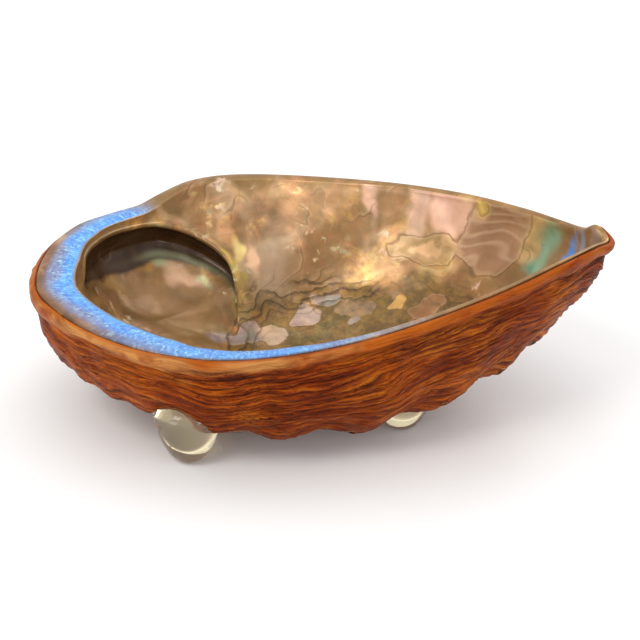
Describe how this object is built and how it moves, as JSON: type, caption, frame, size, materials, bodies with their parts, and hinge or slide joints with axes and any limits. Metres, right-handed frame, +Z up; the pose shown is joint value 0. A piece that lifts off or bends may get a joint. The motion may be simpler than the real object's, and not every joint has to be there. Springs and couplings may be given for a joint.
{
  "type": "abalone shell dish",
  "caption": "Ear-shaped abalone shell lying cavity up as a shallow dish on clear glass drop feet, with a pearly inside and a ridged brown outside.",
  "frame": {"origin": "middle of the object's box on the floor that the feet stand on", "axes": "+X from the spire end to the pointed front end, -Y towards the outer lip with the breathing holes, +Z up out of the bowl"},
  "size_m": [0.1852, 0.1296, 0.0655],
  "materials": {
    "shell": "pearly and glossy inside, waxy and ridged outside",
    "foot_glass": "clear polished glass"
  },
  "bodies": {
    "root": {"shell": "shell", "foot_front": "foot_glass", "foot_right": "foot_glass", "foot_back": "foot_glass"}
  },
  "joints": []
}
